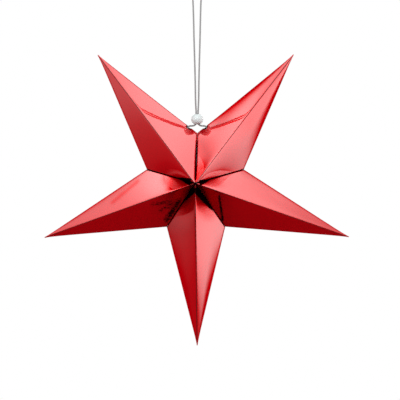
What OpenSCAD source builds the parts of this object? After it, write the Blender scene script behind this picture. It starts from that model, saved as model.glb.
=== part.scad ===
// Hanging five-pointed star, folded from foil card, on a cord with a sliding bead.
// Every length is in millimetres. The star stands in the XZ plane and its front faces -Y.
// The origin is where a hook touches the inside of the cord's loop, so the star hangs below it.

/* [Star] */
// Distance from the star's centre to the tip of each point
tip_radius = 158; // [120:1:220]
// Distance from the star's centre to the outer end of each joint between two points
valley_radius = 50; // [42:1:62]
// Height of the hub above the middle plane, at the front and at the back
half_depth = 48; // [36:1:60]
// Angle left open between the two top points, at the seam that the cord ties shut
seam_angle = 1.5; // [0.5:0.1:3]

/* [Card] */
// Thickness of the foil card
card_t = 0.4; // [0.3:0.05:0.7]
// Width of the strips that are folded inwards where two points meet
strip_w = 8; // [5:0.5:10]
// Distance that each strip stops short of the middle plane
strip_end_gap = 1; // [0.5:0.1:3]
// Distance from the hub's axis at which the strips begin
strip_hub_gap = 3; // [2:0.5:5]
// Width of the glue flap that closes the back of each point
flap_w = 8; // [5:0.5:10]
// Distance from the hub's axis at which the glue flap begins
flap_hub_gap = 13; // [11:1:20]
// Distance that the glue flap stops short of the tip
flap_tip_gap = 12; // [9:1:20]
// Radius of the small round opening that the cut corners leave at the hub
corner_cut_r = 1.2; // [0.5:0.1:1.8]

/* [Cord holes] */
// Diameter of the holes punched through the folds beside the top valley
cord_hole_d = 6; // [4.6:0.1:6.6]
// Distance along the fold from the top valley to the middle of the hole
cord_hole_from_valley = 9; // [8:0.5:12]

/* [Cord and bead] */
// Diameter of the cord
cord_d = 1.8; // [1.4:0.1:1.9]
// Diameter of the stopper knots inside the two top points
knot_d = 7.5; // [7:0.1:8.2]
// Diameter of the ball part of each knot's flat face, where the cord enters
knot_face_d = 2.8; // [2.2:0.1:3]
// Clearance between a knot and the rim of its hole
knot_gap = 0.3; // [0.2:0.05:0.6]
// Length of the cord's free tail behind each knot
knot_tail = 5; // [3:0.5:8]
// Diameter of the bead
bead_d = 11.8; // [10.4:0.2:13]
// Radius of the bead's rounded side, seen in section
bead_side_r = 5.1; // [4.6:0.1:5.5]
// Diameter of the bead's bore, which takes both strands of the cord
bead_bore_d = 4.2; // [4:0.1:4.8]
// Rounding at the two mouths of the bore
bead_mouth_r = 0.5; // [0.2:0.05:0.7]
// Height of the bead's centre above the top valley
bead_height = 14.5; // [13:0.5:40]
// Distance from the hook down to the star's centre
hang_drop = 188; // [150:1:320]

/* [Hidden] */

// Colours of the foil, the clear bead and the grey cord
foil_red = "#d11f2c";
bead_clear = "#e4e4e4";
cord_grey = "#989898";

// The five points are alike, and share the circle less the open seam
point_count = 5;
pitch = (360 - seam_angle) / point_count;
half_pitch = pitch / 2;
seam_side = 90 - seam_angle / 2;
top_right_turn = seam_side - half_pitch;
top_left_turn = 180 - top_right_turn;
left_turn = top_left_turn + pitch;
bottom_turn = left_turn + pitch;
right_turn = top_right_turn - pitch;

// Outer end of a joint, in the middle plane of its point: along the point, and across it
valley_x = valley_radius * cos(half_pitch);
valley_y = valley_radius * sin(half_pitch);

// Each of a point's four panels lies on x / tip_radius + panel_slope * y + z / half_depth = 1.
// Moving a panel inwards by a distance is the same as scaling the point about the hub.
panel_slope = (1 - valley_x / tip_radius) / valley_y;
panel_norm = norm([1 / tip_radius, panel_slope, 1 / half_depth]);
function inward_scale(distance) = 1 - distance * panel_norm;

// How far a cutting body is stretched, so that it runs out through the open side of a point
overrun = 1.2;

// Length of the edge from the hub to the valley
joint_edge = norm([valley_radius, half_depth]);

// Fold from the valley to the tip: its length, its angle to the point's axis,
// and the slope of the panels on each side of it
fold_length = norm([tip_radius - valley_x, valley_y]);
fold_angle = asin(valley_y / fold_length);
fold_slope = atan(half_depth / (tip_radius * sin(fold_angle)));

// The holes and the knots that bear on their rims, measured inwards from the fold
cord_hole_r = cord_hole_d / 2;
knot_r = knot_d / 2;
rim_depth = cord_hole_r / tan(fold_slope) + card_t / sin(fold_slope);
knot_depth = rim_depth + sqrt(knot_r * knot_r - cord_hole_r * cord_hole_r) + knot_gap;
knot_face_r = knot_face_d / 2;
knot_face = sqrt(knot_r * knot_r - knot_face_r * knot_face_r);

// Heights of the top valley and of the bead's centre, in the part's own frame
valley_z = valley_radius - hang_drop;
bead_z = valley_z + bead_height;

// Left-hand hole and knot, as [across, up] in the part's own frame
left_fold_turn = top_left_turn + fold_angle;
left_valley = [-valley_radius * sin(seam_angle / 2), valley_radius * cos(seam_angle / 2) - hang_drop];
left_hole = left_valley + cord_hole_from_valley * [cos(left_fold_turn), sin(left_fold_turn)];
left_knot_at = left_hole + knot_depth * [-sin(left_fold_turn), cos(left_fold_turn)];

// Route of the cord's left half, as [across, up]: from the middle of the hole,
// then from the bead's centre, then from the hook. The right half is its mirror image.
cord_in_hole = [[-1.3, 1], [-0.2, 1.8], [1.3, 1.9]];
cord_at_bead = [
    [-4.65, -7.1], [-3.2, -6.8], [-2, -6], [-1.2, -4.7], [-0.95, -3.3], [-0.95, -2], [-0.95, 5]
];
cord_above_bead = [[-1.4, 14.5], [-1.8, 37.5], [-2.9, 77.5]];
cord_at_hook = [[-4, -7], [-4.2, -3.3], [-3.6, -1.1], [-2.1, 0.3]];
cord_top = [0, 0.9];
knot_way = unit(left_hole + cord_in_hole[0] - left_knot_at);
cord_end = left_knot_at + knot_face * knot_way;
cord_left = concat(
    [cord_end],
    [for (p = cord_in_hole) left_hole + p],
    [for (p = concat(cord_at_bead, cord_above_bead)) [0, bead_z] + p],
    cord_at_hook
);
cord_route = concat(
    cord_left,
    [cord_top],
    [for (i = [len(cord_left) - 1:-1:0]) [-cord_left[i][0], cord_left[i][1]]]
);

// The cord's tube: sides around it, and the greatest distance between rings in diameters
cord_sides = 8;
ring_spacing = 3;

// Roundness of the drilled and turned shapes
$fn = 48;

function unit(v) = v / norm(v);

// Tangent of a smooth line at point i, weighted by the lengths of the spans on both sides
function tangent(path, i) =
    i == 0 ? unit(path[1] - path[0])
    : i == len(path) - 1 ? unit(path[i] - path[i - 1])
    : let (
        back = path[i] - path[i - 1],
        ahead = path[i + 1] - path[i]
    ) unit(back * norm(ahead) / norm(back) + ahead * norm(back) / norm(ahead));

// Point and direction at share u of the span from point i to the next one
function span_place(path, i, u) = let (
    reach = norm(path[i + 1] - path[i]),
    t0 = tangent(path, i) * reach,
    t1 = tangent(path, i + 1) * reach,
    chord = path[i + 1] - path[i],
    bend = t0 + t1 - 2 * chord
) [
    path[i] + u * t0 + u * u * (3 * chord - 2 * t0 - t1) + pow(u, 3) * bend,
    unit(t0 + 2 * u * (3 * chord - 2 * t0 - t1) + 3 * u * u * bend)
];

// The smooth line through the points, as places no further apart than the spacing
function fine_line(path, spacing) = [
    for (i = [0:len(path) - 2])
        let (steps = ceil(norm(path[i + 1] - path[i]) / spacing))
        for (k = [0:steps - 1]) span_place(path, i, k / steps),
    span_place(path, len(path) - 2, 1)
];

// A closed point of the star, with its axis along X and its hub on Z
module point_form() {
    polyhedron(
        points = [
            [tip_radius, 0, 0],
            [valley_x, valley_y, 0],
            [valley_x, -valley_y, 0],
            [0, 0, half_depth],
            [0, 0, -half_depth]
        ],
        faces = [[0, 3, 1], [0, 2, 3], [0, 1, 4], [0, 4, 2], [3, 4, 1], [3, 2, 4]]
    );
}

// The space inside a point at a distance below its panels, running out through the open side
module point_hollow(distance) {
    inner_tip = tip_radius * inward_scale(distance);
    translate([inner_tip, 0, 0])
        scale(overrun)
            translate([-inner_tip, 0, 0])
                scale(inward_scale(distance))
                    point_form();
}

// The four panels of a point, folded along its ridges and its two outer folds
module panels() {
    difference() {
        point_form();
        point_hollow(card_t);
    }
}

// Outline of one glue strip, in the plane of the joint: across from the hub, and up
module strip_outline() {
    low = strip_end_gap;
    near = strip_hub_gap;
    polygon([
        [near, half_depth * (1 - near / valley_radius)],
        [valley_radius * (1 - low / half_depth), low],
        [valley_radius * (1 - low / half_depth) - strip_w * joint_edge / half_depth, low],
        [near, half_depth * (1 - near / valley_radius) - strip_w * joint_edge / valley_radius]
    ]);
}

// The front and back strips on one side of a point, lying flat against its neighbour's
module side_strips() {
    for (up = [0, 1])
        mirror([0, 0, up])
            rotate([0, 0, half_pitch])
                rotate([90, 0, 0])
                    linear_extrude(card_t) strip_outline();
}

// The glue flap along the back ridge, lying against the inside of one back panel
module glue_flap() {
    across = flap_w * cos(fold_slope);
    far_end = tip_radius - flap_tip_gap;
    intersection() {
        difference() {
            scale(inward_scale(card_t / 2)) point_form();
            point_hollow(2 * card_t);
        }
        translate([0, 0, -half_depth])
            linear_extrude(half_depth)
                polygon([
                    [flap_hub_gap, 0],
                    [far_end, 0],
                    [far_end - 3 * across, across],
                    [flap_hub_gap + across, across]
                ]);
    }
}

// The hole punched through a fold, on the side of the point that faces the seam
module cord_hole(side) {
    translate([valley_x, side * valley_y, 0])
        rotate([0, 0, -side * fold_angle])
            translate([cord_hole_from_valley, 0, 0])
                rotate([90, 0, 0])
                    cylinder(d = cord_hole_d, h = 2 * cord_hole_r + 4 * card_t, center = true);
}

// One folded point. hole_side is 1 or -1 where a cord hole is punched, and 0 where there is none
module star_point(turn, hole_side = 0) {
    color(foil_red)
        translate([0, 0, -hang_drop])
            rotate([90, 0, 0])
                rotate([0, 0, turn])
                    difference() {
                        union() {
                            panels();
                            side_strips();
                            mirror([0, 1, 0]) side_strips();
                            glue_flap();
                        }
                        cylinder(r = corner_cut_r, h = 3 * half_depth, center = true);
                        if (hole_side != 0) cord_hole(hole_side);
                    }
}

module point_top_left() {
    star_point(top_left_turn, hole_side = -1);
}

module point_left() {
    star_point(left_turn);
}

module point_bottom() {
    star_point(bottom_turn);
}

module point_right() {
    star_point(right_turn);
}

module point_top_right() {
    star_point(top_right_turn, hole_side = 1);
}

// Turned bead: a rounded side, and a bore with rounded mouths for the two strands
module bead() {
    side_x = bead_d / 2 - bead_side_r;
    bore_r = bead_bore_d / 2;
    mouth_x = bore_r + bead_mouth_r;
    mouth_z = sqrt(pow(bead_side_r - bead_mouth_r, 2) - pow(mouth_x - side_x, 2));
    color(bead_clear)
        translate([0, 0, bead_z])
            rotate_extrude()
                union() {
                    intersection() {
                        translate([side_x, 0]) circle(r = bead_side_r);
                        translate([mouth_x, -bead_side_r]) square([bead_d, 2 * bead_side_r]);
                    }
                    translate([bore_r, -mouth_z])
                        square([2 * bead_mouth_r, 2 * mouth_z]);
                    for (end = [-1, 1])
                        translate([mouth_x, end * mouth_z]) circle(r = bead_mouth_r);
                }
}

// The cord from one knot up over the hook and down to the other, as one plain tube
module hanging_cord() {
    line = fine_line(cord_route, ring_spacing * cord_d);
    last = len(line) - 1;
    rings = [
        for (place = line, k = [0:cord_sides - 1])
            let (
                a = 360 * k / cord_sides,
                across = place[0] + cord_d / 2 * cos(a) * [-place[1][1], place[1][0]]
            )
            [across[0], cord_d / 2 * sin(a), across[1]]
    ];
    walls = [
        for (i = [0:last - 1], k = [0:cord_sides - 1])
            let (a = i * cord_sides, next = (k + 1) % cord_sides)
            [a + k, a + next, a + cord_sides + next, a + cord_sides + k]
    ];
    first_cap = [for (k = [cord_sides - 1:-1:0]) k];
    last_cap = [for (k = [0:cord_sides - 1]) last * cord_sides + k];
    color(cord_grey)
        polyhedron(points = rings, faces = concat(walls, [first_cap, last_cap]));
}

// A stopper knot on the left: a ball with a flat face for the cord, and the cord's short tail
module stopper_knot() {
    color(cord_grey)
        translate([left_knot_at[0], 0, left_knot_at[1]])
            rotate([0, atan2(knot_way[0], knot_way[1]), 0])
                union() {
                    intersection() {
                        sphere(d = knot_d);
                        translate([0, 0, knot_face - knot_d])
                            cylinder(d = 2 * knot_d, h = knot_d);
                    }
                    translate([0, 0, -knot_r - knot_tail])
                        cylinder(d = cord_d, h = knot_tail + knot_r);
                }
}

module left_knot() {
    stopper_knot();
}

module right_knot() {
    mirror([1, 0, 0]) stopper_knot();
}

point_top_left();
point_left();
point_bottom();
point_right();
point_top_right();
bead();
hanging_cord();
left_knot();
right_knot();
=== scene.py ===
"""Looks of a hanging five-pointed star, folded from red foil card, on a twisted cord with a clear bead.

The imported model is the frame. Each of the star's five points is rebuilt here as the cut and folded
sheet that it really is: two front panels, two back panels, strips folded inwards where it is glued to
its neighbours, and a flap that closes it along the back. Sizes are in millimetres up to the step that
puts a piece in its place, which is in metres.
"""

import logging
import math
from dataclasses import dataclass
from enum import Enum
from functools import cached_property
from itertools import product
from typing import Sequence

import bmesh
import bpy
from mathutils import Matrix, Vector


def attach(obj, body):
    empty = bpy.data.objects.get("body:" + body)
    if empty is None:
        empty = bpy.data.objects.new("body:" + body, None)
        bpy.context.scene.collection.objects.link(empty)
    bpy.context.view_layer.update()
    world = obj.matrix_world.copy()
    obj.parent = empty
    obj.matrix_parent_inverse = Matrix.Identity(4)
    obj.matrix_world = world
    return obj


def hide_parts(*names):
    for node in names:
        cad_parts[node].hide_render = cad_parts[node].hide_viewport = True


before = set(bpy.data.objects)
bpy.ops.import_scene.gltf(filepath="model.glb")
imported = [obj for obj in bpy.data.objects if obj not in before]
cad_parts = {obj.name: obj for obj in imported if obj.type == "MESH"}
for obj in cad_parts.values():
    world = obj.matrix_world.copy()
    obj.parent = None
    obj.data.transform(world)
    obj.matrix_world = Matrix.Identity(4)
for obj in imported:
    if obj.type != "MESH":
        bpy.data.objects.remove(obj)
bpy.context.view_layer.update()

LOG = logging.getLogger("star")
MM = 0.001


# Shared helpers


def clamped(value: float) -> float:
    """Returns a value kept between nought and one."""
    return max(0.0, min(1.0, value))


def falloff(distance: float, reach: float, power: int = 2) -> float:
    """Returns a share that falls from one at no distance to next to nought beyond a reach."""
    return math.exp(-((distance / reach) ** power))


def linear(hex_colour: str) -> tuple[float, float, float, float]:
    """Turns an sRGB hex colour into the linear values that Blender's sockets take.

    Args:
        hex_colour: Six hex digits after a hash sign.

    Returns:
        Red, green and blue, and one for alpha.
    """
    parts = [int(hex_colour[i : i + 2], 16) / 255 for i in (1, 3, 5)]
    red, green, blue = [p / 12.92 if p <= 0.04045 else ((p + 0.055) / 1.055) ** 2.4 for p in parts]
    return red, green, blue, 1.0


def node(tree: bpy.types.NodeTree, kind: str, links: dict | None = None, **settings) -> bpy.types.Node:
    """Adds a node to a tree, with its settings and what its sockets hold.

    Args:
        tree: The material's or the world's node tree.
        kind: The node's type name, without its ShaderNode prefix.
        links: What goes into each input, by name or number: a socket to link, or a value.
        **settings: The node's own properties.

    Returns:
        The new node.
    """
    made = tree.nodes.new("ShaderNode" + kind)
    for name, value in settings.items():
        setattr(made, name, value)
    for name, value in (links or {}).items():
        if isinstance(value, bpy.types.NodeSocket):
            tree.links.new(value, made.inputs[name])
        else:
            made.inputs[name].default_value = value
    return made


def fresh_tree(owner: bpy.types.Material | bpy.types.World) -> bpy.types.NodeTree:
    """Switches a material's or a world's nodes on and empties their tree.

    Args:
        owner: The material or the world.

    Returns:
        Its tree.
    """
    owner.use_nodes = True
    owner.node_tree.nodes.clear()
    return owner.node_tree


def mottled(
    tree: bpy.types.NodeTree, size: float, detail: float, tones: tuple[str, str]
) -> tuple[bpy.types.NodeSocket, bpy.types.NodeSocket]:
    """Adds a pattern of soft lumps, and the colour of a surface whose tone goes with it.

    Args:
        tree: The material's node tree.
        size: Size of the lumps, in millimetres.
        detail: How many finer layers the pattern has.
        tones: Hex colours where the pattern is low and where it is high.

    Returns:
        The pattern and the colour.
    """
    place = node(tree, "TexCoord").outputs["Object"]
    lumps = node(tree, "TexNoise", {"Vector": place, "Scale": 1 / (size * MM), "Detail": detail})
    low, high = (linear(tone) for tone in tones)
    colour = node(tree, "Mix", {0: lumps.outputs["Fac"], 6: low, 7: high}, data_type="RGBA")
    return lumps.outputs["Fac"], colour.outputs[2]


def mesh_piece(
    name: str, bm: bmesh.types.BMesh, finishes: Sequence[bpy.types.Material]
) -> bpy.types.Object:
    """Makes an object at the origin from a bmesh whose points are in metres in the row frame.

    Args:
        name: Name of the piece.
        bm: The shape. It is freed.
        finishes: Materials, in the order of the faces' material numbers.

    Returns:
        The new object, smooth-shaded.
    """
    mesh = bpy.data.meshes.new(name)
    bm.to_mesh(mesh)
    bm.free()
    for finish in finishes:
        mesh.materials.append(finish)
    mesh.shade_smooth()
    piece = bpy.data.objects.new(name, mesh)
    bpy.context.scene.collection.objects.link(piece)
    return piece


def keep_modified(piece: bpy.types.Object, crease: float) -> None:
    """Replaces a piece's mesh by what its modifiers make of it, with hard edges where it turns sharply.

    Args:
        piece: The piece, whose modifiers are removed.
        crease: Angle in degrees from which an edge is shaded as hard.
    """
    bpy.context.view_layer.update()
    made = bpy.data.meshes.new_from_object(piece.evaluated_get(bpy.context.evaluated_depsgraph_get()))
    made.name = piece.name
    piece.modifiers.clear()
    piece.data = made
    made.shade_smooth()
    made.set_sharp_from_angle(angle=math.radians(crease))


# Finishes


class Finish:
    """A material made by one surface shader."""

    NAME = ""

    def surface(self, tree: bpy.types.NodeTree) -> dict:
        """Adds the finish's patterns to a tree and returns what the shader's sockets hold."""
        raise NotImplementedError

    def build(self) -> bpy.types.Material:
        """Makes the material.

        Returns:
            The material, named for the finish.
        """
        made = bpy.data.materials.new(self.NAME)
        tree = fresh_tree(made)
        shader = node(tree, "BsdfPrincipled", self.surface(tree))
        node(tree, "OutputMaterial", {"Surface": shader.outputs[0]})
        return made


@dataclass(frozen=True)
class MirrorFoil(Finish):
    """Metallised red foil laminated on card: a mirror under a tinted lacquer, with a fine ripple.

    The lacquer's own gloss is white, so bright things show in it as pink, and the metal under it is
    deep red. The ridge folds have cracked the lacquer, so they are duller and darker. Black is painted
    along the glued joints, in wedges by the hub and in a few streaks: painted shade and painted dark
    reflections.
    """

    NAME = "red_mirror_foil"
    red: str = "#CE000E"
    worn: str = "#5A1C1A"
    # Black painted for the shade in the joints' grooves and by the hub, and for dark reflections
    painted_shade_colour: str = "#1A0506"
    # Each of these on the open panel, and where the glued joint pulls the card in near the hub
    metallic: tuple[float, float] = (0.5, 0.95)
    roughness: tuple[float, float] = (0.27, 0.1)
    lacquer: tuple[float, float] = (1.0, 0.15)
    worn_roughness: float = 0.45
    lacquer_roughness: float = 0.012
    lacquer_ior: float = 1.8
    # The joint's painted shade, times this gain, and a mottling noise are added up, and the foil is
    # painted black from the first of these sums to the second
    shade_gain: float = 1.7
    black_from: float = 1.0
    black_at: float = 1.45
    shade_mottle_mm: float = 2.5
    ripple_mm: float = 16.0
    ripple_depth_mm: float = 0.02

    def surface(self, tree: bpy.types.NodeTree) -> dict:
        """Adds the ripple, the folds' wear, and the painted shade and dark reflections at the joints.

        Args:
            tree: The material's node tree.

        Returns:
            What the shader's sockets hold on the card's printed side.
        """
        place = node(tree, "TexCoord").outputs["Object"]
        ripple, shade_mottle = [
            node(
                tree, "TexNoise",
                {"Vector": place, "Scale": 1 / (size * MM), "Detail": detail, "Roughness": roughness},
            ).outputs["Fac"]
            for size, detail, roughness in ((self.ripple_mm, 1.0, 0.4), (self.shade_mottle_mm, 3.0, 0.6))
        ]
        bump = node(
            tree, "Bump", {"Height": ripple, "Strength": 1.0, "Distance": self.ripple_depth_mm * MM}
        )
        wear, near_hub, shade = [
            node(tree, "Attribute", attribute_name=name, attribute_type="GEOMETRY").outputs["Fac"]
            for name in ("fold_wear", "near_hub", "painted_joint_shade")
        ]
        # The painted shade and the mottling noise decide where black is painted over the foil
        reach = node(tree, "Math", {0: shade, 1: self.shade_gain, 2: shade_mottle}, operation="MULTIPLY_ADD")
        black = node(
            tree, "MapRange",
            {"Value": reach.outputs[0], "From Min": self.black_from, "From Max": self.black_at},
            interpolation_type="SMOOTHSTEP",
        ).outputs[0]
        folded = node(
            tree, "Mix", {0: wear, 6: linear(self.red), 7: linear(self.worn)}, data_type="RGBA"
        )
        # Black painted over the foil's colour, as painted shade and painted dark reflections
        colour = node(
            tree, "Mix", {0: black, 6: folded.outputs[2], 7: linear(self.painted_shade_colour)}, data_type="RGBA"
        )
        metal, even, kept = [
            node(tree, "MapRange", {"Value": near_hub, "To Min": open_panel, "To Max": pulled_in})
            for open_panel, pulled_in in (self.metallic, self.roughness, self.lacquer)
        ]
        rough = node(
            tree, "MapRange", {"Value": wear, "To Min": even.outputs[0], "To Max": self.worn_roughness}
        )
        lacquer = node(tree, "MapRange", {"Value": black, "To Min": kept.outputs[0], "To Max": 0.0})
        return {
            "Base Color": colour.outputs[2],
            "Metallic": metal.outputs[0],
            "Roughness": rough.outputs[0],
            "Specular IOR Level": 0.0,
            "Specular Tint": linear(self.red),
            "Normal": bump.outputs[0],
            "Coat Weight": lacquer.outputs[0],
            "Coat Roughness": self.lacquer_roughness,
            "Coat IOR": self.lacquer_ior,
            "Coat Normal": bump.outputs[0],
        }


@dataclass(frozen=True)
class GreyBoard(Finish):
    """Uncoated recycled board, die-cut: the card's inside and cut edges, matt, grey and fibrous."""

    NAME = "grey_board"
    grey: str = "#3A3735"
    dark: str = "#2C2A28"
    # Real fibres are some 0.03 mm thick, so these are drawn as coarse as they need to show
    fibre_mm: float = 0.5
    roughness: float = 0.85

    def surface(self, tree: bpy.types.NodeTree) -> dict:
        """Returns what the shader's sockets hold on the card's inside and edges."""
        _, colour = mottled(tree, self.fibre_mm, 3.0, (self.grey, self.dark))
        return {"Base Color": colour, "Roughness": self.roughness}


@dataclass(frozen=True)
class ClearAcrylic(Finish):
    """Moulded clear acrylic, tumbled: faint clouds in it, and a skin that blurs what is behind it."""

    NAME = "clear_acrylic"
    clear: str = "#E4ECEC"
    milky: str = "#D9E2E2"
    cloud_mm: float = 3.0
    ior: float = 1.3
    roughness: float = 0.5
    cloud: float = 0.72
    mark_mm: float = 0.6
    mark_depth_mm: float = 0.01

    def surface(self, tree: bpy.types.NodeTree) -> dict:
        """Adds the clouds in the bead and the tumbling marks on it.

        Args:
            tree: The material's node tree.

        Returns:
            What the shader's sockets hold.
        """
        _, colour = mottled(tree, self.cloud_mm, 1.0, (self.clear, self.milky))
        place = node(tree, "TexCoord").outputs["Object"]
        marks = node(
            tree, "TexNoise", {"Vector": place, "Scale": 1 / (self.mark_mm * MM), "Detail": 2.0}
        )
        bump = node(
            tree, "Bump",
            {"Height": marks.outputs["Fac"], "Strength": 1.0, "Distance": self.mark_depth_mm * MM},
        )
        return {
            "Base Color": colour,
            "Transmission Weight": 1 - self.cloud,
            "Roughness": self.roughness,
            "IOR": self.ior,
            "Normal": bump.outputs[0],
        }


@dataclass(frozen=True)
class TwistedPolyester(Finish):
    """Twisted grey polyester cord: soft yarn with a low sheen, darker between its fibres."""

    NAME = "twisted_polyester"
    grey: str = "#9C9B9B"
    dark: str = "#7E7D7D"
    # Real fibres are some 0.02 mm thick, so these are drawn as coarse as they need to show
    fibre_mm: float = 0.25
    fibre_depth_mm: float = 0.05
    fibre_relief: float = 0.5
    roughness: float = 0.7
    sheen: float = 0.3
    sheen_roughness: float = 0.5

    def surface(self, tree: bpy.types.NodeTree) -> dict:
        """Adds the yarn's fibres.

        Args:
            tree: The material's node tree.

        Returns:
            What the shader's sockets hold.
        """
        fibre, colour = mottled(tree, self.fibre_mm, 2.0, (self.grey, self.dark))
        bump = node(
            tree, "Bump",
            {"Height": fibre, "Strength": self.fibre_relief, "Distance": self.fibre_depth_mm * MM},
        )
        return {
            "Base Color": colour,
            "Roughness": self.roughness,
            "Sheen Weight": self.sheen,
            "Sheen Roughness": self.sheen_roughness,
            "Normal": bump.outputs[0],
        }


# The star


@dataclass(frozen=True)
class Fold:
    """One scored fold of the card, which rounds the surface a little on both sides of its line."""

    start: Vector
    along: Vector
    inward: Vector
    softness: float

    def distance(self, spot: Vector) -> float:
        """Returns how far a spot lies from the fold's line."""
        return (spot - self.start).cross(self.along).length

    def sink(self, spot: Vector) -> Vector:
        """Returns how far the rounding moves a spot of the unrounded surface."""
        away = self.distance(spot)
        return self.inward * (math.hypot(away, self.softness) - away)


class Side(Enum):
    """Side of a point, seen from the hub with the front towards the viewer."""

    LEFT = 1
    RIGHT = -1


class Face(Enum):
    """Front or back of the star."""

    FRONT = 1
    BACK = -1


@dataclass(frozen=True)
class Streak:
    """A mark along a line on the front of one side of a point, in the point's own frame."""

    start: tuple[float, float]
    end: tuple[float, float]
    width: float
    strength: float

    def at(self, spot: Vector) -> float:
        """Works out how strong the mark is at a spot of its side.

        Args:
            spot: The spot in the point's own frame.

        Returns:
            Nought for no mark, up to the mark's full strength.
        """
        if spot.z < 0:
            return 0.0
        start, end = Vector(self.start), Vector(self.end)
        t = clamped((spot.xy - start).dot(end - start) / (end - start).length_squared)
        return self.strength * falloff((spot.xy - start.lerp(end, t)).length, self.width)


@dataclass(frozen=True)
class SideForm:
    """What folding and gluing by hand have made of one side of a point, its front and its back."""

    # How far the panels bow out, and how far the bow leans to the outer fold, with 1 for not at all
    bow: float = 0.05
    bow_lean: float = 2.0
    # How far the glued joint pulls the panels in near the hub, how close to the joint that stays,
    # and the distance from the hub's axis to which it takes the foil's white gloss
    pinch: float = 3.6
    curl: float = 1.0
    gloss_loss_radius: float = 30.0
    # How strong the painted shade along the glued joint is, and width and reach of the painted
    # shade wedge along it near the hub, where the light is lost
    shade: float = 0.5
    wedge: tuple[float, float] = (1.0, 9.0)
    # Where dark reflections are painted on the foil, and where it has lost its white gloss
    painted_dark_reflections: tuple[Streak, ...] = ()
    dull_streaks: tuple[Streak, ...] = ()


@dataclass(frozen=True)
class StarPlan:
    """Sizes of the whole star, as in the construction, and what folding by hand has shifted."""

    tip_radius: float = 158.0
    valley_radius: float = 50.0
    half_depth: float = 48.0
    seam_angle: float = 1.5
    hang_drop: float = 188.0
    # Half the seam's width at the hub, halfway and at the valley
    seam_half_gaps: tuple[float, float, float] = (0.22, 0.8, 0.2)
    # Distances in front of the middle plane between which the seam opens
    seam_closes: tuple[float, float] = (1.0, 9.0)
    seam_touch: float = 0.02
    # How far from the seam the sheet gives way with its edge
    seam_give: float = 14.0
    # How far the hub, each tip and each valley have settled from the true star, across and up.
    # Tips and valleys go round from the right-hand point, against the clock.
    hub_shift: tuple[float, float] = (-0.36, 1.67)
    tip_shifts: tuple[tuple[float, float], ...] = (
        (-0.1, -1.5), (1.3, 0.95), (-2.4, 1.15), (0.15, -1.8), (0.55, -0.2),
    )
    valley_shifts: tuple[tuple[float, float], ...] = (
        (-0.8, 0.3), (1.0, 1.5), (-1.3, 0.5), (-0.1, -0.7), (-0.75, -0.6),
    )

    @property
    def pitch(self) -> float:
        """Angle that each point takes up, in degrees."""
        return (360 - self.seam_angle) / 5

    @property
    def turns(self) -> list[float]:
        """Directions of the five points, from the right-hand one, against the clock."""
        first = 90 - self.seam_angle / 2 - 1.5 * self.pitch
        return [first, first + self.pitch, 90 + self.seam_angle / 2 + self.pitch / 2] + [
            90 + self.seam_angle / 2 + (k + 0.5) * self.pitch for k in (1, 2)
        ]

    @property
    def valley(self) -> Vector:
        """Outer end of a joint, along and across its point."""
        half = math.radians(self.pitch / 2)
        return Vector((self.valley_radius * math.cos(half), self.valley_radius * math.sin(half)))

    def seam_gap(self, radius: float, forward: float) -> float:
        """Returns half the seam's width.

        Args:
            radius: Distance from the hub's axis.
            forward: Distance in front of the star's middle plane.

        Returns:
            The half width, in millimetres. The seam gapes at the front and is shut at the back.
        """
        at_hub, halfway, at_valley = self.seam_half_gaps
        t = clamped(radius / self.valley_radius)
        gape = at_hub * (1 - t) * (1 - 2 * t) + 4 * halfway * t * (1 - t) + at_valley * t * (2 * t - 1)
        start, end = self.seam_closes
        return self.seam_touch + gape * clamped((forward - start) / (end - start))

    @cached_property
    def sectors(self) -> list[tuple[float, Matrix, Vector, Vector]]:
        """Returns, for each stretch between two corners of the outline, how its spots are shifted.

        Returns:
            The angle at which it starts, the matrix that turns across and up into shares of the
            two corners, and where each corner has settled, from the settled hub.
        """
        corners = []
        for turn, tip_shift, valley_shift in zip(self.turns, self.tip_shifts, self.valley_shifts):
            for angle, radius, shift in (
                (turn, self.tip_radius, tip_shift),
                (turn + self.pitch / 2, self.valley_radius, valley_shift),
            ):
                way = Vector((math.cos(math.radians(angle)), math.sin(math.radians(angle))))
                settled = way * radius + Vector(shift) - Vector(self.hub_shift)
                corners.append((angle, way * radius, settled))
        made = []
        for (angle, u, u_to), (_, v, v_to) in zip(corners, corners[1:] + corners[:1]):
            shares = Matrix(((u.x, v.x), (u.y, v.y))).inverted()
            made.append(((angle - corners[0][0]) % 360, shares, u_to, v_to))
        return made

    def settle(self, spot: Vector) -> Vector:
        """Moves a spot of the true star to where it lies on the folded one.

        Between two neighbouring corners of the outline the shift is even, so flat panels stay flat
        and straight edges stay straight.

        Args:
            spot: Across, depth and up, from the star's centre, in millimetres.

        Returns:
            The settled spot.
        """
        angle = (math.degrees(math.atan2(spot.z, spot.x)) - self.turns[0]) % 360
        _, shares, u_to, v_to = [s for s in self.sectors if s[0] <= angle][-1]
        share = shares @ Vector((spot.x, spot.z))
        moved = Vector(self.hub_shift) + share.x * u_to + share.y * v_to
        return Vector((moved.x, spot.y, moved.y))


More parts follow.
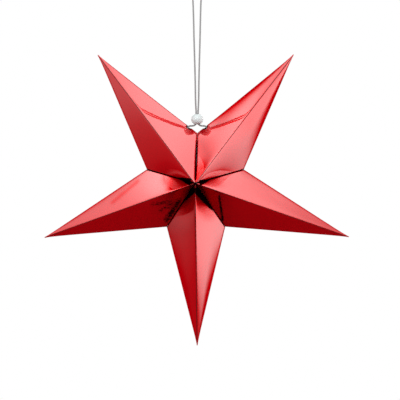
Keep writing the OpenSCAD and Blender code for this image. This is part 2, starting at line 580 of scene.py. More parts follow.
@dataclass
class FoldedPoint:
    """One point of the star: a single sheet of foil card, creased, curled shut and glued.

    The sheet is worked in the point's own frame: x runs from the hub's axis to the tip, y across
    to the left, and z towards the viewer.
    """

    plan: StarPlan
    name: str
    turn: float
    forms: dict[Side, SideForm]
    # The side at the open seam, if any, where the fold is punched for the cord
    seam: Side | None = None
    card: float = 0.4
    strip_width: float = 8.0
    strip_end_gap: float = 1.0
    strip_hub_gap: float = 3.0
    strip_bend: float = 1.0
    flap_width: float = 8.0
    flap_hub_gap: float = 13.0
    flap_tip_gap: float = 12.0
    # The flap's free edge is cut back at the hub and at the tip by so many of its own widths
    flap_cut_back: tuple[float, float] = (1.0, 3.0)
    flap_glue: float = 0.06
    corner_cut: float = 0.7
    hole_diameter: float = 6.0
    hole_from_valley: float = 9.0
    # The hole is round in the flat sheet, so it is narrower from front to back, and it was punched
    # a little in front of the fold
    hole_depth_share: float = 0.78
    hole_forward: float = 1.15
    ridge_softness: float = 0.6
    fold_softness: float = 0.45
    # The back panel over the flap stands off its ridge by so much, which dies away over this reach
    back_edge_lift: float = 0.2
    back_edge_reach: float = 3.0
    # Shares of a panel's width at which the sheet has its lines of points
    width_shares: tuple[float, ...] = (
        0.0, 0.003, 0.007, 0.013, 0.022, 0.036, 0.06, 0.09, 0.125, *(k / 25 for k in range(4, 22)),
        0.875, 0.91, 0.94, 0.964, 0.978, 0.987, 0.993, 0.997, 1.0,
    )
    rows: int = 80
    # Share of the length at which the even rows start, and how much they crowd at both ends
    first_row: float = 0.012
    row_crowding: float = 0.75
    # The tip is blunt by so much over this reach, points this near to it and to each other are
    # merged, and its board thins over the last millimetres to this share
    tip_blunt: float = 0.4
    tip_blunt_reach: float = 5.0
    tip_weld: float = 0.6
    tip_weld_gap: float = 0.02
    tip_closing: float = 4.5
    tip_card_share: float = 0.06
    # The joint's pull is highest at the first radius and dies away at the second, and sets in over
    # this depth from the middle plane
    pinch_radius: float = 18.0
    pull_radius: float = 32.0
    pull_depth: float = 18.0
    # Pull at which the foil has lost all it can of its white gloss
    dull_pinch: float = 3.0
    # The painted shade wedge's width as a share at the hub, how fast that falls, and where it stops
    # falling
    wedge_taper: tuple[float, float, float] = (1.15, 0.8, 0.2)
    # The painted shade wedge spares the hub to this radius, and the painted shade line along the
    # joint is this wide
    bright_hub: float = 5.0
    groove_width: float = 0.7
    # The ridges' wear starts this far from the tip, and the outer folds have this share of it
    wear_start: float = 7.0
    outer_wear: float = 0.12
    # Angle in degrees from which the finished sheet is shaded with a hard edge
    crease: float = 38.0

    def panel_normal(self, face: Face, side: Side) -> Vector:
        """Works out which way a flat panel faces.

        Args:
            face: Front or back.
            side: Left or right.

        Returns:
            The panel's outward direction.
        """
        plan = self.plan
        slope = side.value * (1 - plan.valley.x / plan.tip_radius) / plan.valley.y
        return Vector((1 / plan.tip_radius, slope, face.value / plan.half_depth)).normalized()

    def corner_points(self, face: Face, side: Side) -> tuple[Vector, Vector, Vector]:
        """Finds the corners of a flat panel.

        Args:
            face: Front or back.
            side: Left or right.

        Returns:
            The corners at the hub, at the valley and at the tip.
        """
        plan = self.plan
        return (
            Vector((0, 0, face.value * plan.half_depth)),
            Vector((plan.valley.x, side.value * plan.valley.y, 0)),
            Vector((plan.tip_radius, 0, 0)),
        )

    def folds(self) -> list[Fold]:
        """Finds the point's four long folds.

        Returns:
            The front and the back ridge, then the left and the right outer fold.
        """
        made = []
        for face in Face:
            hub, _, tip = self.corner_points(face, Side.LEFT)
            pair = [self.panel_normal(face, side) for side in Side]
            made.append(self.fold_between(hub, tip, pair, self.ridge_softness))
        for side in Side:
            _, valley, tip = self.corner_points(Face.FRONT, side)
            pair = [self.panel_normal(face, side) for face in Face]
            made.append(self.fold_between(valley, tip, pair, self.fold_softness))
        return made

    @staticmethod
    def fold_between(start: Vector, end: Vector, normals: Sequence[Vector], softness: float) -> Fold:
        """Returns the fold on the line where two panels meet.

        Args:
            start: One end of the line.
            end: The other end.
            normals: Outward directions of the two panels.
            softness: Distance over which the fold is rounded.

        Returns:
            The fold.
        """
        turn = normals[0].angle(normals[1])
        inward = -(normals[0] + normals[1]).normalized() * math.sin(turn / 2)
        return Fold(start, (end - start).normalized(), inward, softness)

    def surface(self, face: Face, side: Side, width: float, length: float) -> Vector:
        """Returns a spot on a panel, before its folds are rounded.

        Args:
            face: Front or back.
            side: Left or right.
            width: Share of the way from the ridge to the outer fold.
            length: Share of the way from the joint with the neighbour to the tip.

        Returns:
            The spot, with the panel's bow.
        """
        hub, valley, tip = self.corner_points(face, side)
        spot = hub.lerp(tip, length) * (1 - width) + valley.lerp(tip, length) * width
        lean = self.forms[side].bow_lean
        # One where the panel swells most, and nought on its edges
        swell = (lean + 1) ** (lean + 1) / lean**lean * width**lean * (1 - width)
        swell *= 4 * length * (1 - length)
        spot += self.panel_normal(face, side) * self.forms[side].bow * swell
        spot.z -= face.value * self.pull(side, spot)
        return spot

    def across(self, spot: Vector) -> float:
        """Returns how far round from the ridge towards the joint a spot lies, from nought to one."""
        return min(1.0, abs(math.atan2(spot.y, spot.x)) / math.radians(self.plan.pitch / 2))

    def pull(self, side: Side, spot: Vector) -> float:
        """Returns how far the glued joint pulls a spot of the sheet towards the middle plane.

        Args:
            side: The panel's side.
            spot: The spot on the flat panel.

        Returns:
            The distance, in millimetres.
        """
        form, radius = self.forms[side], math.hypot(spot.x, spot.y)
        t = radius / self.pinch_radius
        fade = falloff(radius, self.pull_radius, 3) * (1 - falloff(spot.z, self.pull_depth))
        return form.pinch * self.across(spot) ** form.curl * t * math.exp(1 - t) * fade

    def gloss_lost(self, side: Side, spot: Vector) -> float:
        """Works out how much of its white gloss the foil has lost at a spot.

        Args:
            side: The panel's side.
            spot: The spot.

        Returns:
            Nought for none and one for all, where the joint pulls the card in or it is crumpled.
        """
        form = self.forms[side]
        near = falloff(math.hypot(spot.x, spot.y), form.gloss_loss_radius, 3)
        near *= min(1.0, form.pinch / self.dull_pinch) * self.across(spot) ** (form.curl - 1)
        return max([near] + [streak.at(spot) for streak in form.dull_streaks])

    def shade(self, side: Side, spot: Vector, length: float) -> float:
        """Returns the painted shade in the joint's groove and by the hub, and painted dark reflections.

        Args:
            side: The panel's side.
            spot: The spot.
            length: Share of the way from the joint to the tip.

        Returns:
            Nought for plain foil, one for black.
        """
        form, radius = self.forms[side], math.hypot(spot.x, spot.y)
        away = length * self.plan.tip_radius * math.sin(math.radians(self.plan.pitch / 2))
        width, reach = form.wedge
        at_hub, fall, least = self.wedge_taper
        width *= max(least, at_hub - fall * radius / reach)
        wedge = falloff(radius, reach, 6) * falloff(away, width, 6)
        wedge *= 1 - falloff(radius, self.bright_hub, 4)
        groove = max(wedge, falloff(away, self.groove_width)) * form.shade
        return max([groove] + [streak.at(spot) for streak in form.painted_dark_reflections])

    def columns(self) -> list[tuple[Face, Side, float]]:
        """Sets out the sheet's lines of points, once round from the back ridge to the back ridge.

        Returns:
            The face, the side and the share of the panel's width of each line.
        """
        outwards, inwards = self.width_shares, self.width_shares[::-1]
        ring = [(Face.BACK, Side.RIGHT, s) for s in outwards]
        ring += [(Face.FRONT, Side.RIGHT, s) for s in inwards[1:]]
        ring += [(Face.FRONT, Side.LEFT, s) for s in outwards[1:]]
        ring += [(Face.BACK, Side.LEFT, s) for s in inwards[1:]]
        return ring

    def row_shares(self) -> list[float]:
        """Sets out the sheet's rows of points, from the joint to the tip.

        Returns:
            The share of the length of each row, closer together at both ends.
        """
        shares = [0.0]
        for k in range(self.rows + 1):
            t = k / self.rows
            t -= math.sin(2 * math.pi * t) / (2 * math.pi) * self.row_crowding
            shares.append(self.first_row + (1 - self.first_row) * t)
        return shares

    def lay_out_sheet(self) -> bmesh.types.BMesh:
        """Makes the four panels from one grid, which is open along the back ridge and at the hub.

        Returns:
            The sheet, without thickness. Its vertices carry their column and row, and what the foil
            shows there: the folds' wear, the gloss lost near the hub, and the painted shade and painted
                dark
            reflections at the joints.
        """
        ring, shares, folds = self.columns(), self.row_shares(), self.folds()
        bm = bmesh.new()
        bmesh.ops.create_grid(bm, x_segments=len(ring) - 1, y_segments=len(shares) - 1, size=0.5)
        column_of = bm.verts.layers.int.new("column")
        row_of = bm.verts.layers.int.new("row")
        wear_of = bm.verts.layers.float.new("fold_wear")
        hub_of = bm.verts.layers.float.new("near_hub")
        painted_shade_of = bm.verts.layers.float.new("painted_joint_shade")
        for vert in bm.verts:
            column = round((vert.co.x + 0.5) * (len(ring) - 1))
            row = round((vert.co.y + 0.5) * (len(shares) - 1))
            face, side, width = ring[column]
            spot = self.surface(face, side, width, shares[row])
            if face is Face.BACK and side is Side.LEFT:
                lift = self.back_edge_lift * falloff(folds[1].distance(spot), self.back_edge_reach, 1)
                spot += self.panel_normal(face, side) * lift
            left = self.plan.tip_radius - spot.x
            blunt = self.tip_blunt * falloff(left, self.tip_blunt_reach, 1) * (shares[row] < 1)
            vert.co = spot + sum((fold.sink(spot) for fold in folds), Vector())
            vert.co += Vector((0, side.value * width * blunt, face.value * (1 - width) * blunt))
            vert[column_of], vert[row_of] = column, row
            wear = [falloff(fold.distance(spot), fold.softness) for fold in folds]
            ridge_wear = max(wear[:2]) * clamped(left / self.wear_start)
            vert[wear_of] = ridge_wear + self.outer_wear * max(wear[2:])
            vert[hub_of] = self.gloss_lost(side, spot)
            # Painted shade and painted dark reflections, which the foil's material turns black
            vert[painted_shade_of] = self.shade(side, spot, shares[row])
        return bm

    def fold_in_strips(self, bm: bmesh.types.BMesh) -> None:
        """Adds the four glue strips, folded inwards along the joints with the neighbours.

        Args:
            bm: The sheet, which is changed.
        """
        plan = self.plan
        column_of, row_of = bm.verts.layers.int["column"], bm.verts.layers.int["row"]
        ring = self.columns()
        edge_length = math.hypot(plan.valley_radius, plan.half_depth)
        near = self.strip_hub_gap / plan.valley_radius
        far = 1 - self.strip_end_gap / plan.half_depth
        # Ends of a strip's free edge: radius from the hub's axis, and height
        inner = Vector((
            self.strip_hub_gap,
            plan.half_depth * (1 - near) - self.strip_width * edge_length / plan.valley_radius,
        ))
        outer = Vector((
            plan.valley_radius * far - self.strip_width * edge_length / plan.half_depth,
            self.strip_end_gap,
        ))
        way = plan.valley.normalized()
        bent: list[bmesh.types.BMEdge] = []
        for face, side in product(Face, Side):
            picked = []
            for edge in (e for e in bm.edges if e.is_boundary and all(v[row_of] == 0 for v in e.verts)):
                places = [ring[v[column_of]] for v in edge.verts]
                if all(near <= p[2] <= far and p[:2] == (face, side) for p in places):
                    picked.append(edge)
            bent += picked
            made = bmesh.ops.extrude_edge_only(bm, edges=picked)["geom"]
            fresh = [v for v in made if isinstance(v, bmesh.types.BMVert)]
            spans = [ring[v[column_of]][2] for v in fresh]
            low, high = min(spans), max(spans)
            for vert, span in zip(fresh, spans):
                radius, height = inner.lerp(outer, (span - low) / (high - low))
                vert.co = Vector((way.x * radius, side.value * way.y * radius, face.value * height))
                vert[row_of] = -1
        bmesh.ops.bevel(
            bm, geom=bent, offset=self.strip_bend, segments=3, profile=0.5, affect="EDGES",
            clamp_overlap=False, material=-1,
        )

    def fold_in_flap(self, bm: bmesh.types.BMesh) -> None:
        """Adds the glue flap that goes on from the right-hand back panel under the left-hand one.

        Args:
            bm: The sheet, which is changed.
        """
        column_of, row_of = bm.verts.layers.int["column"], bm.verts.layers.int["row"]
        start, end = self.flap_hub_gap, self.plan.tip_radius - self.flap_tip_gap
        edges = [
            e for e in bm.edges
            if e.is_boundary
            and all(v[column_of] == 0 and v[row_of] > 0 and start <= v.co.x <= end for v in e.verts)
        ]
        made = bmesh.ops.extrude_edge_only(bm, edges=edges)["geom"]
        fresh = [v for v in made if isinstance(v, bmesh.types.BMVert)]
        low, high = min(v.co.x for v in fresh), max(v.co.x for v in fresh)
        hub, _, tip = self.corner_points(Face.BACK, Side.LEFT)
        normal = self.panel_normal(Face.BACK, Side.LEFT)
        across = (tip - hub).cross(normal).normalized()
        across *= math.copysign(1, across.y)
        at_hub, at_tip = self.flap_cut_back
        for vert in fresh:
            t = (vert.co.x - low) / (high - low)
            along = (low + at_hub * self.flap_width) * (1 - t) + (high - at_tip * self.flap_width) * t
            spot = hub.lerp(tip, along / self.plan.tip_radius) + across * self.flap_width
            spot.z += self.pull(Side.LEFT, spot)
            vert.co = spot - normal * (self.card + self.flap_glue)
            vert[row_of] = -1

    def face_outwards(self, bm: bmesh.types.BMesh) -> None:
        """Gives the whole sheet one outward side, tested on its front left panel.

        Args:
            bm: The sheet, which is changed.
        """
        bmesh.ops.recalc_face_normals(bm, faces=bm.faces)
        bm.normal_update()
        normal = self.panel_normal(Face.FRONT, Side.LEFT)
        # Only faces that are nearly parallel to the panel count
        biggest = max(bm.faces, key=lambda f: f.calc_area() * (f.normal.dot(normal) ** 8 > 0.9))
        if biggest.normal.dot(normal) < 0:
            bmesh.ops.reverse_faces(bm, faces=bm.faces)

    def place(self, spot: Vector) -> Vector:
        """Takes a spot from the point's own frame to its settled place in the row frame, in metres.

        Args:
            spot: The spot in the point's own frame, in millimetres.

        Returns:
            The spot in the row frame, in metres.
        """
        turn, plan = math.radians(self.turn), self.plan
        spot = Vector((
            spot.x * math.cos(turn) - spot.y * math.sin(turn),
            -spot.z,
            spot.x * math.sin(turn) + spot.y * math.cos(turn),
        ))
        if self.seam is not None:
            # The true star's seam is a wedge, and the folded one gapes in the middle
            away = 1 if self.seam is Side.LEFT else -1
            wedge = max(0.0, spot.z) * math.tan(math.radians(plan.seam_angle / 2))
            give = falloff(abs(spot.x) - wedge, plan.seam_give)
            spot.x += away * (plan.seam_gap(spot.z, -spot.y) - wedge) * give
        spot = plan.settle(spot)
        return Vector((spot.x, spot.y, spot.z - plan.hang_drop)) * MM

    def hole_cutter(self, finishes: Sequence[bpy.types.Material]) -> bpy.types.Object:
        """Makes a plain cylinder through the outer fold, where the cord goes in.

        Args:
            finishes: The foil, then the bare board, which the walls of the hole get.

        Returns:
            The cylinder, as a piece that is removed once it has cut.
        """
        side = self.seam.value
        _, valley, tip = self.corner_points(Face.FRONT, self.seam)
        middle = valley + (tip - valley).normalized() * self.hole_from_valley
        angle = math.asin(self.plan.valley.y / (tip - valley).length)
        bm = bmesh.new()
        # Long enough to pass through both sides of the fold
        bmesh.ops.create_cone(
            bm, cap_ends=True, segments=40, radius1=self.hole_diameter / 2,
            radius2=self.hole_diameter / 2, depth=2.2 * self.hole_diameter,
        )
        bmesh.ops.scale(bm, vec=(1, self.hole_depth_share, 1), verts=bm.verts)
        turn = Matrix.Rotation(-side * angle, 4, "Z") @ Matrix.Rotation(math.pi / 2, 4, "X")
        turn = Matrix.Translation(middle + Vector((0, 0, self.hole_forward))) @ turn
        bmesh.ops.transform(bm, matrix=turn, verts=bm.verts)
        for vert in bm.verts:
            vert.co = self.place(vert.co)
        for face in bm.faces:
            face.material_index = 1
        return mesh_piece("hole_cutter", bm, finishes)

    def build(self, finishes: Sequence[bpy.types.Material]) -> bpy.types.Object:
        """Makes the point in its place, dressed.

        Args:
            finishes: The foil, then the bare board.

        Returns:
            The finished piece.
        """
        bm = self.lay_out_sheet()
        self.fold_in_strips(bm)
        self.fold_in_flap(bm)
        at_tip = [v for v in bm.verts if v.co.x > self.plan.tip_radius - self.tip_weld]
        bmesh.ops.remove_doubles(bm, verts=at_tip, dist=self.tip_weld_gap)
        bmesh.ops.bisect_plane(
            bm, geom=bm.verts[:] + bm.edges[:] + bm.faces[:],
            plane_co=(self.corner_cut, 0, 0), plane_no=(1, 0, 0), clear_inner=True,
        )
        self.face_outwards(bm)
        for vert in bm.verts:
            vert.co = self.place(vert.co)
        piece = mesh_piece("foil_" + self.name, bm, finishes)
        # The board has its full thickness but for the last few millimetres, where the tip closes up
        tip = self.place(Vector((self.plan.tip_radius, 0, 0)))
        full = piece.vertex_groups.new(name="thick")
        for vert in piece.data.vertices:
            share = (vert.co - tip).length / MM / self.tip_closing
            full.add([vert.index], min(1.0, max(self.tip_card_share, share)), "REPLACE")
        thick = piece.modifiers.new("board", "SOLIDIFY")
        thick.thickness, thick.offset, thick.use_even_offset = self.card * MM, -1, True
        thick.vertex_group, thick.thickness_vertex_group = full.name, 0.0
        thick.material_offset = thick.material_offset_rim = 1
        cutter = None
        if self.seam is not None:
            cutter = self.hole_cutter(finishes)
            cut = piece.modifiers.new("hole", "BOOLEAN")
            cut.operation, cut.solver, cut.object = "DIFFERENCE", "EXACT", cutter
        keep_modified(piece, self.crease)
        if cutter is not None:
            bpy.data.objects.remove(cutter)
        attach(piece, "root")
        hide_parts(self.name)
        return piece


@dataclass(frozen=True)
class PaperStar:
    """The five points, each glued to its neighbours except at the seam on top."""

    plan: StarPlan = StarPlan()
    # Each point's name, its side at the open seam, if any, and its left and its right side's form,
    # from the right-hand point, against the clock
    points: tuple[tuple[str, Side | None, SideForm, SideForm], ...] = (
        (
            "point_right", None,
            SideForm(
                bow=-0.03, pinch=1.4, curl=1.6, shade=1.0, wedge=(4.6, 13.5),
                dull_streaks=(Streak((5, 3), (17, 10), 5.0, 0.8), Streak((24, 10), (100, 8), 20.0, 0.2)),
            ),
            SideForm(pinch=4.0, painted_dark_reflections=(Streak((25, -4), (35.5, -24), 2.3, 0.55),)),
        ),
        (
            "point_top_right", Side.LEFT,
            SideForm(
                bow=0.1, pinch=0.9, shade=0.0,
                dull_streaks=(
                    Streak((2, 0.6), (15, 4.5), 7.0, 0.95), Streak((40, 8), (100, 5), 20.0, 0.38),
                ),
            ),
            SideForm(
                bow=0.34, bow_lean=1.2, pinch=1.4, curl=4.0, shade=1.0, wedge=(2.8, 11.0),
                dull_streaks=(Streak((80, -8), (120, -4), 16.0, 0.25),),
            ),
        ),
        (
            "point_top_left", Side.RIGHT,
            SideForm(curl=3.0, shade=1.0, wedge=(4.0, 17.0)),
            SideForm(pinch=0.3, shade=0.0),
        ),
        (
            "point_left", None,
            SideForm(
                pinch=4.0,
                painted_dark_reflections=(
                    Streak((20, 10), (38, 23), 5.0, 0.5), Streak((26, 9), (45, 5), 4.0, 0.44),
                    Streak((26, 12), (40, 12), 4.0, 0.44),
                ),
            ),
            SideForm(
                shade=1.0, wedge=(4.5, 13.0),
                dull_streaks=(Streak((81.6, -9.8), (52.2, -20.8), 2.0, 0.6),),
            ),
        ),
        (
            "point_bottom", None,
            SideForm(bow=0.36, bow_lean=1.0, pinch=4.0, shade=1.0, wedge=(6.5, 31.0)),
            SideForm(
                bow=0.3, bow_lean=1.0, pinch=4.0, gloss_loss_radius=42.0, shade=1.0, wedge=(6.0, 19.0)
            ),
        ),
    )

    def build(self) -> list[bpy.types.Object]:
        """Builds and returns the five pieces."""
        finishes = (MirrorFoil().build(), GreyBoard().build())
        return [
            FoldedPoint(self.plan, name, turn, dict(zip(Side, forms)), seam).build(finishes)
            for (name, seam, *forms), turn in zip(self.points, self.plan.turns)
        ]


# The cord and the bead


@dataclass(frozen=True)
class Route:
    """A smooth line through chosen places, followed at even steps."""

    places: tuple[Vector, ...]

    def tangents(self) -> list[Vector]:
        """Works out the line's direction at each place, from its neighbours.

        Returns:
            The directions, one for each place.
        """
        found = []
        for i, here in enumerate(self.places):
            if i == 0:
                way = self.places[1] - here
            elif i == len(self.places) - 1:
                way = here - self.places[i - 1]
            else:
                back, ahead = here - self.places[i - 1], self.places[i + 1] - here
                way = back * (ahead.length / back.length) + ahead * (back.length / ahead.length)
            found.append(way.normalized())
        return found

    def line(self, step: float) -> list[Vector]:
        """Returns points along the line, no further apart than a step.

        Args:
            step: Greatest distance between two points, in millimetres.

        Returns:
            The points, from the first place to the last.
        """
        ways, points = self.tangents(), []
        for i in range(len(self.places) - 1):
            start, end = self.places[i], self.places[i + 1]
            reach = (end - start).length
            count = max(1, math.ceil(reach / step))
            for k in range(count):
                u = k / count
                points.append(
                    start * (2 * u**3 - 3 * u**2 + 1) + ways[i] * reach * (u**3 - 2 * u**2 + u)
                    + end * (3 * u**2 - 2 * u**3) + ways[i + 1] * reach * (u**3 - u**2)
                )
        return points + [self.places[-1]]


@dataclass(frozen=True)
class TwistedLine:
    """Yarns laid round each other along a line, as in a cord."""

    diameter: float = 1.8
    yarns: int = 3
    lay_length: float = 5.2
    roundness: int = 2

    def yarn_centres(self, points: Sequence[Vector], yarn: int) -> list[Vector]:
        """Returns the helix that one yarn follows round a line.

        Args:
            points: The line, in millimetres, with no sharp corners.
            yarn: Number of the yarn.

        Returns:
            The yarn's own line, in millimetres.
        """
        reach = self.diameter / 2 - self.yarn_radius
        side, gone, found = Vector((0, 1, 0)), 0.0, []
        for i, here in enumerate(points):
            way = (points[min(i + 1, len(points) - 1)] - points[max(i - 1, 0)]).normalized()
            side = (side - way * side.dot(way)).normalized()
            gone += (here - points[i - 1]).length if i else 0.0
            angle = 2 * math.pi * (gone / self.lay_length + yarn / self.yarns)
            found.append(here + (side * math.cos(angle) + way.cross(side) * math.sin(angle)) * reach)
        return found

    @property
    def yarn_radius(self) -> float:
        """Radius of one yarn, so that they touch and fill the cord's diameter."""
        return self.diameter / 2 / (1 + 1 / math.sin(math.pi / self.yarns))

    def lay(self, name: str, points: Sequence[Vector], finish: bpy.types.Material) -> bpy.types.Object:
        """Lays the yarns along a line and makes them one mesh.

        Args:
            name: Name of the piece.
            points: The line, in millimetres.
            finish: The cord's material.

        Returns:
            The piece.
        """
        curve = bpy.data.curves.new(name, "CURVE")
        curve.dimensions, curve.bevel_mode, curve.use_fill_caps = "3D", "ROUND", True
        curve.bevel_depth, curve.bevel_resolution = self.yarn_radius * MM, self.roundness
        for yarn in range(self.yarns):
            centres = self.yarn_centres(points, yarn)
            spline = curve.splines.new("POLY")
            spline.points.add(len(centres) - 1)
            for place, centre in zip(spline.points, centres):
                place.co = (*(centre * MM), 1)
        laid = bpy.data.objects.new(name, curve)
        bpy.context.scene.collection.objects.link(laid)
        bpy.context.view_layer.update()
        mesh = bpy.data.meshes.new_from_object(laid.evaluated_get(bpy.context.evaluated_depsgraph_get()))
        bpy.data.objects.remove(laid)
        bm = bmesh.new()
        bm.from_mesh(mesh)
        bpy.data.meshes.remove(mesh)
        bmesh.ops.recalc_face_normals(bm, faces=bm.faces)
        return mesh_piece(name, bm, (finish,))


@dataclass(frozen=True)
class HangingCord:
    """The cord that ties the seam shut, from a hole through the bead, over the hook and back."""

    finish: bpy.types.Material
    diameter: float = 1.8
    # Left half of the route, across and up, within half a millimetre of the construction's: the end
    # in the left knot, the hole, the bend under the bead, the bead's bore, and the rise to the hook
    left_half: tuple[tuple[float, float], ...] = (
        (-9.736, -133.288), (-8.908, -131.0), (-7.808, -130.15), (-6.308, -129.95),
        (-4.65, -129.9), (-3.2, -129.6), (-2.0, -128.85), (-1.2, -127.85), (-0.95, -126.6),
        (-0.95, -125.5), (-0.95, -116.5), (-1.35, -109.0), (-1.8, -86.0), (-2.9, -46.0),
        (-4.0, -7.0), (-4.2, -3.3), (-3.6, -1.1), (-2.1, 0.3),
    )
    top: tuple[float, float] = (0.0, 0.9)
    # Where it comes out of the left hole, across and up
    comes_out: tuple[float, float] = (-7.608, -132.291)
    length: float = 286.0
    # How far it hangs to the right of the row's middle, over the settled seam
    lean: float = 0.8
    # The left knot's middle and the way out of it to the hole, across and up
    knot_centre: tuple[float, float] = (-11.068, -136.502)
    knot_way: tuple[float, float] = (0.3829, 0.9238)
    knot_radius: float = 3.75
    knot_tail: float = 5.0
    # A knot's loops follow a ring twice round and wind about it three times. They are scaled by
    # this, stay open by this angle in radians, and have so many steps.
    knot_scale: float = 0.95
    knot_opening: float = 0.6
    knot_steps: int = 22
    # Greatest distance between two points of the cord's line and of a knot's
    step: float = 0.6
    knot_step: float = 0.35

    @property
    def twist(self) -> TwistedLine:
        """The yarns that the cord is laid from."""
        return TwistedLine(self.diameter)

    def leaned(self, across: float, up: float) -> Vector:
        """Returns a place of the route as it hangs over the settled seam, in millimetres."""
        return Vector((across + self.lean, 0, up))

    def route(self) -> Route:
        """Returns the whole line, from the left knot to the right one."""
        right_half = [(-across, up) for across, up in reversed(self.left_half)]
        return Route(tuple(self.leaned(*p) for p in (*self.left_half, self.top, *right_half)))

    def knot_line(self, mirrored: bool) -> list[Vector]:
        """Returns the line of an overhand knot inside the top point, with its free tail.

        Args:
            mirrored: Whether it is the right-hand knot.

        Returns:
            The line, in millimetres in the row frame.
        """
        loops = []
        for k in range(self.knot_steps + 1):
            t = -self.knot_opening / 2 - (2 * math.pi - self.knot_opening) * k / self.knot_steps
            out = 2 + math.cos(3 * t)
            spot = Vector((out * math.cos(2 * t), out * math.sin(2 * t), math.sin(3 * t)))
            loops.append(spot * self.knot_scale)
        # The cord comes in from the hole, and goes on to its free end
        entry = [Vector((0, 3.45, 0)), Vector((0.9, 2.75, -0.55)), Vector((2.3, 1.3, -0.95))]
        tail = [Vector((2.3, -1.3, 0.95)), Vector((1.0, -2.9, 0.5)), Vector((0.1, -4.6, 0))]
        tail.append(Vector((0, -self.knot_radius - self.knot_tail, 0)))
        along = Vector((self.knot_way[0], 0, self.knot_way[1]))
        across = Vector((along.z, 0, -along.x))
        centre = Vector((self.knot_centre[0], 0, self.knot_centre[1]))
        line = [
            centre + across * p.x + along * p.y + Vector((0, p.z, 0))
            for p in Route(tuple(entry + loops + tail)).line(self.knot_step)
        ]
        return [self.leaned(-p.x if mirrored else p.x, p.z) + Vector((0, p.y, 0)) for p in line]

    def build(self, bead: bpy.types.Object) -> bpy.types.Object:
        """Makes the cord and its two knots.

        Args:
            bead: The bead, which slides on the cord. It is not used.

        Returns:
            The cord.
        """
        for name, mirrored in (("left_knot", False), ("right_knot", True)):
            knot = self.twist.lay("overhand_" + name, self.knot_line(mirrored), self.finish)
            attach(knot, "root")
            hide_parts(name)
        line = self.route().line(self.step)
        cord = self.twist.lay("twisted_cord", line, self.finish)
        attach(cord, "root")
        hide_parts("hanging_cord")
        return cord


@dataclass(frozen=True)
class Bead:
    """A turned clear bead with a rounded side and a bore for both strands of the cord."""

    diameter: float = 11.8
    side_radius: float = 5.1
    bore: float = 4.2
    mouth: float = 0.5
    across: float = 0.8
    height: float = -123.5
    segments: int = 72

    def build(self, finish: bpy.types.Material) -> bpy.types.Object:
        """Spins the bead's section round its axis.

        Args:
            finish: The bead's material.

        Returns:
            The bead, in place of its plain solid.
        """
        bm = bmesh.new()
        bmesh.ops.create_circle(bm, cap_ends=False, radius=self.side_radius, segments=self.segments)
        out = Matrix.Translation((self.diameter / 2 - self.side_radius, 0, 0))
        upright = out @ Matrix.Rotation(math.pi / 2, 4, "X")
        bmesh.ops.transform(bm, matrix=upright, verts=bm.verts)
        bmesh.ops.bisect_plane(
            bm, geom=bm.verts[:] + bm.edges[:], plane_co=(self.bore / 2, 0, 0), plane_no=(1, 0, 0),
            clear_inner=True,
        )
        ends = sorted(bm.verts, key=lambda v: v.co.x)[:2]
        bm.edges.new(ends)
        bmesh.ops.bevel(
            bm, geom=ends, offset=self.mouth, segments=6, profile=0.5, affect="VERTICES", material=-1
        )
        bmesh.ops.spin(
            bm, geom=bm.verts[:] + bm.edges[:], cent=(0, 0, 0), axis=(0, 0, 1), angle=2 * math.pi,
            steps=self.segments, use_merge=True,
        )
        bmesh.ops.remove_doubles(bm, verts=bm.verts, dist=0.001)
        bmesh.ops.recalc_face_normals(bm, faces=bm.faces)
        for vert in bm.verts:
            vert.co = (vert.co + Vector((self.across, 0, self.height))) * MM
        piece = mesh_piece("clear_bead", bm, (finish,))
        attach(piece, "root")
        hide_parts("bead")
        return piece


# The studio


@dataclass(frozen=True)
class Softbox:
    """A rectangular lamp that looks at a spot and lights only matt surfaces."""

    name: str
    place: tuple[float, float, float]
    look_at: tuple[float, float, float]
    size: tuple[float, float]
    watts: float

    def build(self) -> bpy.types.Object:
        """Makes the lamp.

        Returns:
            The lamp, in its place.
        """
        data = bpy.data.lights.new(self.name, "AREA")
        data.shape, data.energy = "RECTANGLE", self.watts
        data.size, data.size_y = self.size
        lamp = bpy.data.objects.new(self.name, data)
        lamp.location = self.place
        way = Vector(self.look_at) - Vector(self.place)
        lamp.rotation_euler = way.to_track_quat("-Z", "Y").to_euler()
        lamp.visible_camera = lamp.visible_glossy = False
        bpy.context.scene.collection.objects.link(lamp)
        return lamp


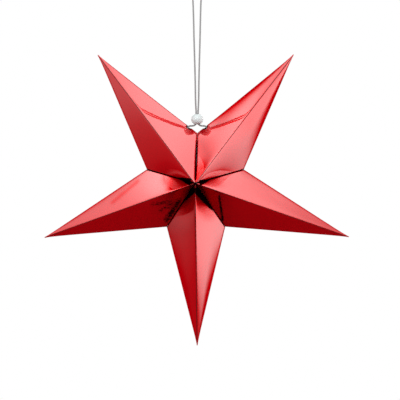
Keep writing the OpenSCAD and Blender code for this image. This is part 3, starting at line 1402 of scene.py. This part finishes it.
@dataclass(frozen=True)
class Studio:
    """A light tent: white behind the star, bright overhead and to the right, and dark below."""

    camera_place: tuple[float, float, float] = (0.0123934, -0.8, -0.188309)
    # Turned to the right, up, and against the clock, in degrees
    camera_turns: tuple[float, float, float] = (-0.634, -1.0234, -0.0561)
    lens: float = 73.377
    floor_colour: str = "#ECEAE6"
    floor_drop: float = 0.9
    floor_radius: float = 1.1
    # Shares of its radius between which the floor fades out
    floor_fade: tuple[float, float] = (0.35, 0.97)
    # Brightness of the tent round the star, by direction: degrees from the right, against the
    # clock, as the star's panels mirror it
    tent: tuple[tuple[float, float], ...] = (
        (-180, 0.05), (-176, 0.1), (-170, 0.7), (-165.5, 0.55), (-163, 0.2), (-161.5, 0.11),
        (-159, 0.03), (-150, 0.01), (-28, 0.01), (-24.5, 0.12), (-23.5, 0.3), (-22, 1.6), (-19, 2.5),
        (-14, 2.9), (-10, 1.6), (-5, 0.3), (0, 0.05), (40, 0.05), (45, 0.4), (48, 1.0), (52, 2.3),
        (56, 2.8), (60, 2.6), (64, 1.8), (90, 1.4), (115, 1.8), (120.5, 1.7), (123, 4.4), (126, 3.6),
        (129, 1.6), (134, 1.1), (140, 0.05),
    )
    brightest: float = 5.0
    # Each pair is how far back a direction points where one part of the tent starts to show, and
    # where it alone does: the bright wings, the white wall behind, and the dim room in front
    wings: tuple[float, float] = (0.325, 0.266)
    wall: tuple[float, float] = (0.6, 0.8)
    room: tuple[float, float] = (-0.4, -0.65)
    room_level: float = 0.06
    # Brightness of the whole tent to matt surfaces
    matt_level: float = 0.59

    def build_camera(self) -> None:
        """Puts the camera where the photograph was taken from."""
        yaw, tilt, roll = (math.radians(a) for a in self.camera_turns)
        ahead = Vector((math.sin(yaw) * math.cos(tilt), math.cos(yaw) * math.cos(tilt), math.sin(tilt)))
        right = Vector((math.cos(yaw), -math.sin(yaw), 0))
        up = right.cross(ahead)
        right, up = (
            right * math.cos(roll) + up * math.sin(roll), up * math.cos(roll) - right * math.sin(roll)
        )
        data = bpy.data.cameras.new("camera")
        data.lens, data.sensor_width, data.clip_start, data.clip_end = self.lens, 36, 0.01, 50
        camera = bpy.data.objects.new("camera", data)
        camera.location = self.camera_place
        camera.rotation_euler = Matrix((right, up, -ahead)).transposed().to_euler()
        bpy.context.scene.collection.objects.link(camera)
        bpy.context.scene.camera = camera

    def build_floor(self) -> None:
        """Lays a round pale floor, which fades out at its rim."""
        bm = bmesh.new()
        bmesh.ops.create_circle(bm, cap_ends=True, radius=self.floor_radius, segments=96)
        bmesh.ops.translate(bm, vec=(0, 0, -self.floor_drop), verts=bm.verts)
        paint = bpy.data.materials.new("floor_paint")
        tree = fresh_tree(paint)
        place = node(tree, "TexCoord").outputs["Object"]
        flat = node(tree, "VectorMath", {0: place, 1: (1, 1, 0)}, operation="MULTIPLY")
        away = node(tree, "VectorMath", {0: flat.outputs[0]}, operation="LENGTH")
        start, end = (share * self.floor_radius for share in self.floor_fade)
        shown = node(
            tree, "MapRange",
            {
                "Value": away.outputs["Value"], "From Min": start, "From Max": end,
                "To Min": 1.0, "To Max": 0.0,
            },
            interpolation_type="SMOOTHSTEP",
        )
        pale = node(tree, "BsdfDiffuse", {"Color": linear(self.floor_colour)})
        clear = node(tree, "BsdfTransparent")
        mixed = node(tree, "MixShader", {0: shown.outputs[0], 1: clear.outputs[0], 2: pale.outputs[0]})
        node(tree, "OutputMaterial", {"Surface": mixed.outputs[0]})
        floor = mesh_piece("floor", bm, (paint,))
        floor.visible_glossy = False

    def build_world(self) -> None:
        """Lights the tent: white to the camera, even to matt surfaces, shaped to mirrors."""
        world = bpy.data.worlds.new("light_tent")
        bpy.context.scene.world = world
        tree = fresh_tree(world)
        way = node(tree, "SeparateXYZ", {0: node(tree, "TexCoord").outputs["Generated"]})
        angle = node(tree, "Math", {0: way.outputs["Z"], 1: way.outputs["X"]}, operation="ARCTAN2")
        turn = node(
            tree, "MapRange", {"Value": angle.outputs[0], "From Min": -math.pi, "From Max": math.pi}
        )
        ramp = node(tree, "ValToRGB", {"Fac": turn.outputs[0]})
        stops = ramp.color_ramp.elements
        while len(stops) > 1:
            stops.remove(stops[-1])
        stops[0].position = 0
        for k, (degrees, level) in enumerate(self.tent):
            stop = stops.new((degrees + 180) / 360) if k else stops[0]
            stop.color = (*[level / self.brightest] * 3, 1)
        lit = node(tree, "Math", {0: ramp.outputs[0], 1: self.brightest}, operation="MULTIPLY")
        in_plane, behind, ahead = [
            node(
                tree, "MapRange", {"Value": way.outputs["Y"], "From Min": start, "From Max": end},
                interpolation_type="SMOOTHSTEP",
            ).outputs[0]
            for start, end in (self.wings, self.wall, self.room)
        ]
        round_star = node(tree, "Math", {0: lit.outputs[0], 1: in_plane}, operation="MULTIPLY")
        rays = node(tree, "LightPath")
        seen = node(
            tree, "Math",
            {0: rays.outputs["Is Camera Ray"], 1: rays.outputs["Is Transmission Ray"]},
            operation="MAXIMUM",
        )
        level = round_star.outputs[0]
        for share, other in (
            (behind, 1.0), (ahead, self.room_level),
            (rays.outputs["Is Diffuse Ray"], self.matt_level), (seen.outputs[0], 1.0),
        ):
            level = node(tree, "Mix", {0: share, 2: level, 3: other}, data_type="FLOAT").outputs[0]
        tent = node(tree, "Background", {"Color": (1, 1, 1, 1), "Strength": level})
        node(tree, "OutputWorld", {"Surface": tent.outputs[0]})

    def build_lamps(self) -> None:
        """Adds the soft key lamp above and the fill beside the camera, for the matt surfaces."""
        star = (0, 0, -0.19)
        Softbox("key_lamp", (-1.15, -0.6, 0.05), star, (0.9, 0.9), 16).build()
        Softbox("fill_lamp", (1.1, -0.7, 0.35), star, (0.8, 0.8), 16).build()

    def build(self) -> None:
        """Sets up the view settings, the floor, the world and the lamps."""
        bpy.context.scene.view_settings.view_transform = "Standard"
        self.build_floor()
        self.build_world()
        self.build_lamps()


def main() -> None:
    """Builds the whole scene in order and reports each piece."""
    logging.basicConfig(level=logging.INFO, format="%(name)s: %(message)s")
    studio = Studio()
    studio.build_camera()
    bead = Bead().build(ClearAcrylic().build())
    pieces = [bead, HangingCord(TwistedPolyester().build()).build(bead)]
    pieces += PaperStar().build()
    studio.build()
    for piece in pieces:
        LOG.info("%s: %d faces", piece.name, len(piece.data.polygons))


if __name__ == "__main__":
    main()
